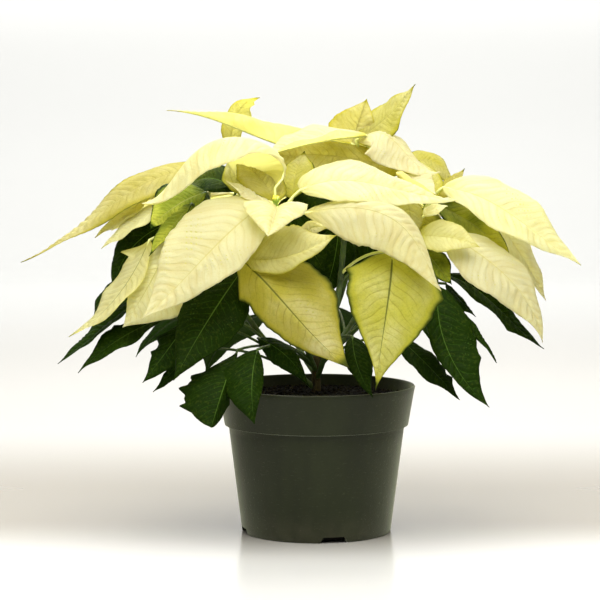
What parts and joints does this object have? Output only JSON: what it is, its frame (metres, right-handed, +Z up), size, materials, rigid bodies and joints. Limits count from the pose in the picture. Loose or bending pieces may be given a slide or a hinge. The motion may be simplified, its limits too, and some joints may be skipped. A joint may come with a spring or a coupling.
{
  "type": "potted poinsettia",
  "caption": "White poinsettia in a round nursery pot: tiers of pointed cream bracts over dark green toothed leaves on branching stems that rise from the potting soil.",
  "frame": {"origin": "middle of the pot's flat underside", "axes": "+Z up along the pot's axis, +X along the plant's widest spread, -Y the side that the leaves mostly face"},
  "size_m": [0.4655, 0.3386, 0.3744],
  "materials": {
    "pot": "satin moulded",
    "soil": "rough crumbly potting mix",
    "trunk": "rough bark",
    "green_leaf": "satin leaf",
    "bract": "soft translucent leaf",
    "cyathia": "satin"
  },
  "bodies": {
    "root": {"pot": "pot", "soil": "soil", "trunk": "trunk", "leafy_stem_1": "green_leaf", "bracts_1": "bract", "cyathia_1": "cyathia", "leafy_stem_2": "green_leaf", "bracts_2": "bract", "cyathia_2": "cyathia", "leafy_stem_3": "green_leaf", "bracts_3": "bract", "cyathia_3": "cyathia", "leafy_stem_4": "green_leaf", "bracts_4": "bract", "cyathia_4": "cyathia", "leafy_stem_5": "green_leaf", "bracts_5": "bract", "cyathia_5": "cyathia", "leafy_stem_6": "green_leaf", "bracts_6": "bract", "cyathia_6": "cyathia", "leafy_stem_7": "green_leaf", "bracts_7": "bract", "cyathia_7": "cyathia"}
  },
  "joints": []
}
